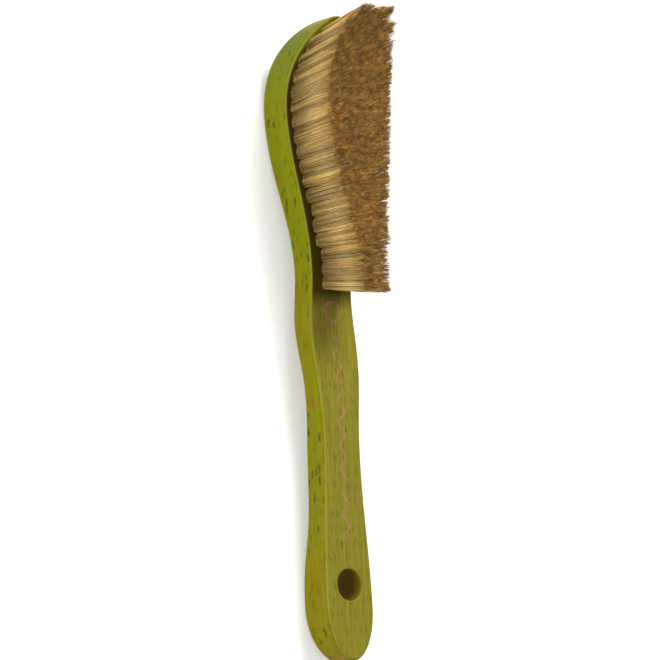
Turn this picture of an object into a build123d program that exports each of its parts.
# A wooden hand brush: a one-piece beech handle with a curved head and a round hanging hole, and a
# dense field of natural bristle tufts, each one folded over a flat steel anchor in a blind hole.
#
# The brush lies on its back. X runs along it, from the toe of the head (-X) to the handle's end (+X),
# Y is across it, and Z points up out of the bristle face. The origin is under the middle of the
# whole brush, in the plane that it lies on. Sizes are in millimetres.
from build123d import *
from math import asin, degrees, radians, sqrt, tan
import os

os.makedirs("parts", exist_ok=True)

# ---- driving dimensions: places along the brush ----
handle_length = 123.4  # from the neck to the handle's end
head_length = 85.0  # from the neck to the wooden toe
toe_overhang = 0.5  # how far the bristles reach past the wooden toe
end_swell_from_end = 18.0  # widest place of the handle's end
hole_from_end = 24.4  # centre of the hanging hole
hollow_from_end = 44.0  # the back is still hollow here
waist_from_neck = 53.0  # slimmest place of the handle
crest_from_neck = 31.0  # the handle's back arches up to here
grip_from_neck = 20.0  # widest place of the grip
dip_from_neck = 11.0  # the back dips here, just behind the head
widest_from_toe = 26.0  # widest place of the head
toe_bend_from_toe = 32.0  # where the head starts to curl up

# ---- driving dimensions: widths ----
end_width = 19.6
waist_width = 15.4
grip_width = 19.3
neck_width = 17.4
head_width = 28.1

# ---- driving dimensions: thicknesses, and how high the back stands above the resting plane ----
end_thickness = 12.0
waist_thickness = 9.5
crest_thickness = 7.9
dip_thickness = 9.0
neck_thickness = 9.0
head_thickness = 11.6
hollow_rise = 2.8
waist_rise = 3.6
crest_rise = 5.4
dip_rise = 3.1
neck_rise = 3.9
end_curl = 6.0  # height of the rounded back corner at the handle's end

# ---- driving dimensions: curves and rounded edges ----
toe_bend_radius = 42.0  # curve of the bristle face at the toe
toe_nose_radius = 24.0  # the back of the toe is rounded over
face_edge_radius = 0.9
back_edge_radius = 1.4

# ---- driving dimensions: hanging hole ----
hang_hole_diameter = 10.0
hang_hole_rim_radius = 0.7

# ---- driving dimensions: tuft holes ----
tuft_hole_diameter = 3.5
tuft_hole_depth = 6.0
wood_between_rows = 1.4  # between the holes of two cross rows, before the rows are spread evenly
least_wood_across = 0.8  # between neighbouring holes of a cross row, where they stand closest
most_wood_across = 1.9  # the same, where they stand widest
edge_margin = 1.9  # wood left between the holes and the outline
heel_margin = 2.1  # extra wood beside the field at the heel
heel_from_neck = 1.5  # the last row stands this far into the handle
toe_row_inset = 1.9  # extra wood in front of the first row

# ---- driving dimensions: bristles ----
tuft_root_length = 2.6  # the bundle keeps the hole's diameter this far out of the wood
tuft_clearance = 0.1  # air between neighbouring bundles where they are cut to length
bristle_length_heel = 21.3
bristle_length_middle = 20.3
bristle_length_toe = 18.8
middle_from_toe = 48.0  # the lowest place of the trimmed face
trim_start_rise = 0.3  # how far the trimmed face has risen where the head starts to curl up
fan_centre_from_toe = 52.0  # the tufts lean away from here
toe_lean = 10.0  # degrees, towards the toe
heel_lean = 10.0  # degrees, towards the handle
side_splay = 4.0  # degrees, outwards on the outermost tufts

# ---- driving dimensions: staple anchors ----
anchor_thickness = 0.4
anchor_height = 2.0
anchor_bite = 0.25  # into the wood at each end
fold_height = 0.9  # room for the fold of the bristles under the anchor

# ---- places and sizes worked out from these ----
whole_length = handle_length + head_length + toe_overhang
end_x = whole_length / 2
neck_x = end_x - handle_length
toe_x = neck_x - head_length
end_swell_x = end_x - end_swell_from_end
hole_x = end_x - hole_from_end
hollow_x = end_x - hollow_from_end
waist_x = neck_x + waist_from_neck
crest_x = neck_x + crest_from_neck
grip_x = neck_x + grip_from_neck
dip_x = neck_x + dip_from_neck
widest_x = toe_x + widest_from_toe
toe_bend_x = toe_x + toe_bend_from_toe
middle_x = toe_x + middle_from_toe
fan_x = toe_x + fan_centre_from_toe
neck_face = neck_rise + neck_thickness
tuft_radius = tuft_hole_diameter / 2
row_pitch = tuft_hole_diameter + wood_between_rows
closest_pitch = tuft_hole_diameter + least_wood_across
widest_pitch = tuft_hole_diameter + most_wood_across
stem_length = tuft_hole_depth + tuft_root_length
anchor_length = tuft_hole_diameter + 2 * anchor_bite
tall = 3 * (head_thickness + bristle_length_heel)  # taller than anything here
saw_allowance = 1.0  # the board is sawn this much longer than the outline at each end
outline_pull = 0.4  # share of a stretch over which the outline holds its direction at each end
upward = 0.3  # a face whose normal rises more than this belongs to the bristle side
closing_steps = 20  # tries that bring a hole to its margin of wood
base = (Align.CENTER, Align.CENTER, Align.MIN)


def swell(x0, width0, x1, width1):
    """One side of the outline from one widest or slimmest place to the next, level at both."""
    reach = outline_pull * (x1 - x0)
    return Bezier((x0, width0 / 2), (x0 + reach, width0 / 2), (x1 - reach, width1 / 2), (x1, width1 / 2))


def bend_rise(at_x):
    """How far the bristle face has curled up at this place of the toe."""
    return toe_bend_radius - sqrt(toe_bend_radius**2 - (toe_bend_x - at_x) ** 2)


# ---- the handle's outline, seen from above ----
with BuildSketch() as outline:
    with BuildLine():
        EllipticalCenterArc((end_swell_x, 0), end_swell_from_end, end_width / 2)
        swell(end_swell_x, end_width, waist_x, waist_width)
        swell(waist_x, waist_width, grip_x, grip_width)
        swell(grip_x, grip_width, neck_x, neck_width)
        swell(neck_x, neck_width, widest_x, head_width)
        EllipticalCenterArc((widest_x, 0), widest_from_toe, head_width / 2, 90, arc_size=90)
        mirror(about=Plane.XZ)
    make_face()

# ---- blank: sawn from a board to its side profile, cut to the outline, its edges rounded ----
back_bend_radius = toe_bend_radius + head_thickness
bend_reach = toe_bend_from_toe + saw_allowance
face_bend_angle = degrees(asin(bend_reach / toe_bend_radius))
back_bend_angle = degrees(asin(bend_reach / back_bend_radius))
end_reach = end_swell_from_end + saw_allowance
with BuildPart() as blank:
    with BuildSketch(Plane.XZ.offset(-head_width / 2)) as profile:
        with BuildLine():
            Spline(
                (end_swell_x, end_thickness),
                (waist_x, waist_rise + waist_thickness),
                (crest_x, crest_rise + crest_thickness),
                (dip_x, dip_rise + dip_thickness),
                (neck_x, neck_face),
                (toe_bend_x, head_thickness),
                tangents=[(-1, 0), (-1, 0)],
            )
            face_centre = (toe_bend_x, head_thickness + toe_bend_radius)
            face_bend = CenterArc(face_centre, toe_bend_radius, 270, -face_bend_angle)
            back_centre = (toe_bend_x, back_bend_radius)
            back_bend = CenterArc(back_centre, back_bend_radius, 270, -back_bend_angle)
            Line(face_bend @ 1, back_bend @ 1)
            Spline(
                (toe_bend_x, 0),
                (neck_x, neck_rise),
                (dip_x, dip_rise),
                (crest_x, crest_rise),
                (waist_x, waist_rise),
                (hollow_x, hollow_rise),
                (end_swell_x, 0),
                tangents=[(1, 0), (1, 0)],
            )
            EllipticalCenterArc((end_swell_x, end_curl), end_reach, end_curl, 270)
            Polyline(
                (end_swell_x + end_reach, end_curl),
                (end_swell_x + end_reach, end_thickness),
                (end_swell_x, end_thickness),
            )
        make_face()
        toe_corner = profile.vertices().sort_by(Axis.X)[:2].sort_by(Axis.Y)[0]
        fillet(toe_corner, toe_nose_radius)
    extrude(amount=head_width)
    with BuildSketch():
        add(outline.sketch)
    extrude(amount=tall, mode=Mode.INTERSECT)
    face_side = blank.faces().filter_by(lambda side: side.normal_at().Z > upward)
    back_side = blank.faces().filter_by(lambda side: side.normal_at().Z < -upward)
    face_rim = face_side.edges().filter_by(GeomType.LINE, reverse=True)
    back_rim = back_side.edges().filter_by(GeomType.LINE, reverse=True)
    fillet(face_rim, face_edge_radius)
    fillet(back_rim, back_edge_radius)

# ---- where the tufts stand ----
first_row_x = toe_x + edge_margin + tuft_radius + toe_row_inset
heel_row_x = neck_x + heel_from_neck
row_count = round((heel_row_x - first_row_x) / row_pitch) + 1
row_step = (heel_row_x - first_row_x) / (row_count - 1)
outline_edge = outline.sketch.face().outer_wire()


def field_half_width(at_x):
    """How far from the middle a hole can stand at this place and still keep its margin of wood."""
    half = 0.0
    for closing_in in range(closing_steps):
        half += outline_edge.distance_to(Vertex(at_x, half, 0)) - tuft_radius - edge_margin
    towards_heel = max(0, (at_x - widest_x) / (heel_row_x - widest_x))
    return half - heel_margin * towards_heel**3


def row_places(at_x):
    """Where the tufts of one cross row stand, in even steps across the field."""
    half = field_half_width(at_x)
    gaps = max(0, int(2 * half / closest_pitch))
    pitch = min(2 * half / gaps, widest_pitch) if gaps else 0
    return [pitch * (place - gaps / 2) for place in range(gaps + 1)]


def seat(at_x, at_y, outermost_y):
    """The plane at the bottom of one tuft's hole, its Z along the tuft and its X along the grain."""
    if at_x < fan_x:
        lean = -toe_lean * (fan_x - at_x) / (fan_x - toe_x)
    else:
        lean = heel_lean * ((at_x - fan_x) / (heel_row_x - fan_x)) ** 2
    splay = side_splay * at_y / outermost_y if outermost_y else 0
    along = Vector(tan(radians(lean)), tan(radians(splay)), 1).normalized()
    crossings = blank.part.find_intersection_points(Axis((at_x, at_y, 0), (0, 0, 1)))
    mouth = max((point for point, normal in crossings), key=lambda point: point.Z)
    return Plane(mouth - along * tuft_hole_depth, x_dir=(1, 0, 0), z_dir=along)


rows = []
for row_number in range(row_count):
    row_x = first_row_x + row_step * row_number
    places = row_places(row_x)
    rows.append([seat(row_x, place_y, places[-1]) for place_y in places])
all_seats = [one for row in rows for one in row]

# ---- the handle: the blank, drilled for the hanging hole, the tufts and their anchors ----
with BuildPart() as handle:
    add(blank.part)
    with Locations((hole_x, 0, 0)):
        Cylinder(hang_hole_diameter / 2, tall, mode=Mode.SUBTRACT)
    rims = handle.edges(Select.LAST).filter_by(GeomType.LINE, reverse=True)
    fillet(rims, hang_hole_rim_radius)
    with Locations(*all_seats):
        Cylinder(tuft_radius, stem_length, align=base, mode=Mode.SUBTRACT)
    with Locations(*[one.offset(fold_height) for one in all_seats]):
        Box(anchor_length, anchor_thickness, anchor_height, align=base, mode=Mode.SUBTRACT)
handle.part.label = "handle"
export_step(handle.part, "parts/handle.step")

# ---- the space under the trimmed face, to which all the bristles are cut ----
past_field = 2 * widest_pitch  # reaches past the outermost bundles at toe and heel
half_bend_x = (toe_x + toe_bend_x) / 2
middle_top = head_thickness + bristle_length_middle
with BuildPart() as below_trim:
    with BuildSketch(Plane.XZ.offset(-head_width)):
        with BuildLine():
            trim = Spline(
                (heel_row_x + past_field, neck_face + bristle_length_heel),
                (middle_x, middle_top),
                (toe_bend_x, middle_top + trim_start_rise),
                (half_bend_x, middle_top + bend_rise(half_bend_x)),
                (toe_x, head_thickness + bend_rise(toe_x) + bristle_length_toe),
            )
            past_toe = trim @ 1 + (trim % 1) * past_field
            Polyline(
                trim @ 1,
                past_toe,
                (past_toe.X, -tall),
                (heel_row_x + past_field, -tall),
                trim @ 0,
            )
        make_face()
    extrude(amount=2 * head_width)

# ---- bristle tufts and anchors: one file of each for a cross row, counted from the toe ----
tip_radius = (min(closest_pitch, row_step) - tuft_clearance) / 2
tuft_taper = (tip_radius - tuft_radius) / (bristle_length_heel - tuft_root_length)


def bundles(row):
    """The trimmed tufts of one cross row, each with the window that its anchor fills."""
    with BuildPart() as tufts:
        with Locations(*row):
            Cylinder(tuft_radius, stem_length, align=base)
        with Locations(*[one.offset(stem_length) for one in row]):
            Cone(tuft_radius, tuft_radius + tuft_taper * tall, tall, align=base)
        add(below_trim.part, mode=Mode.INTERSECT)
        with Locations(*[one.offset(fold_height) for one in row]):
            Box(anchor_length, anchor_thickness, anchor_height, align=base, mode=Mode.SUBTRACT)
    return tufts.part


def staples(row):
    """The anchors of one cross row, which lie along the grain so that they don't split the wood."""
    with BuildPart() as anchors:
        with Locations(*[one.offset(fold_height) for one in row]):
            Box(anchor_length, anchor_thickness, anchor_height, align=base)
    return anchors.part


for row_number, row in enumerate(rows, start=1):
    tuft_row = bundles(row)
    tuft_row.label = f"tuft_row_{row_number:02d}"
    export_step(tuft_row, f"parts/{tuft_row.label}.step")
    anchor_row = staples(row)
    anchor_row.label = f"anchor_row_{row_number:02d}"
    export_step(anchor_row, f"parts/{anchor_row.label}.step")
print(f"{row_count} cross rows, {len(all_seats)} tufts, {whole_length} mm long")
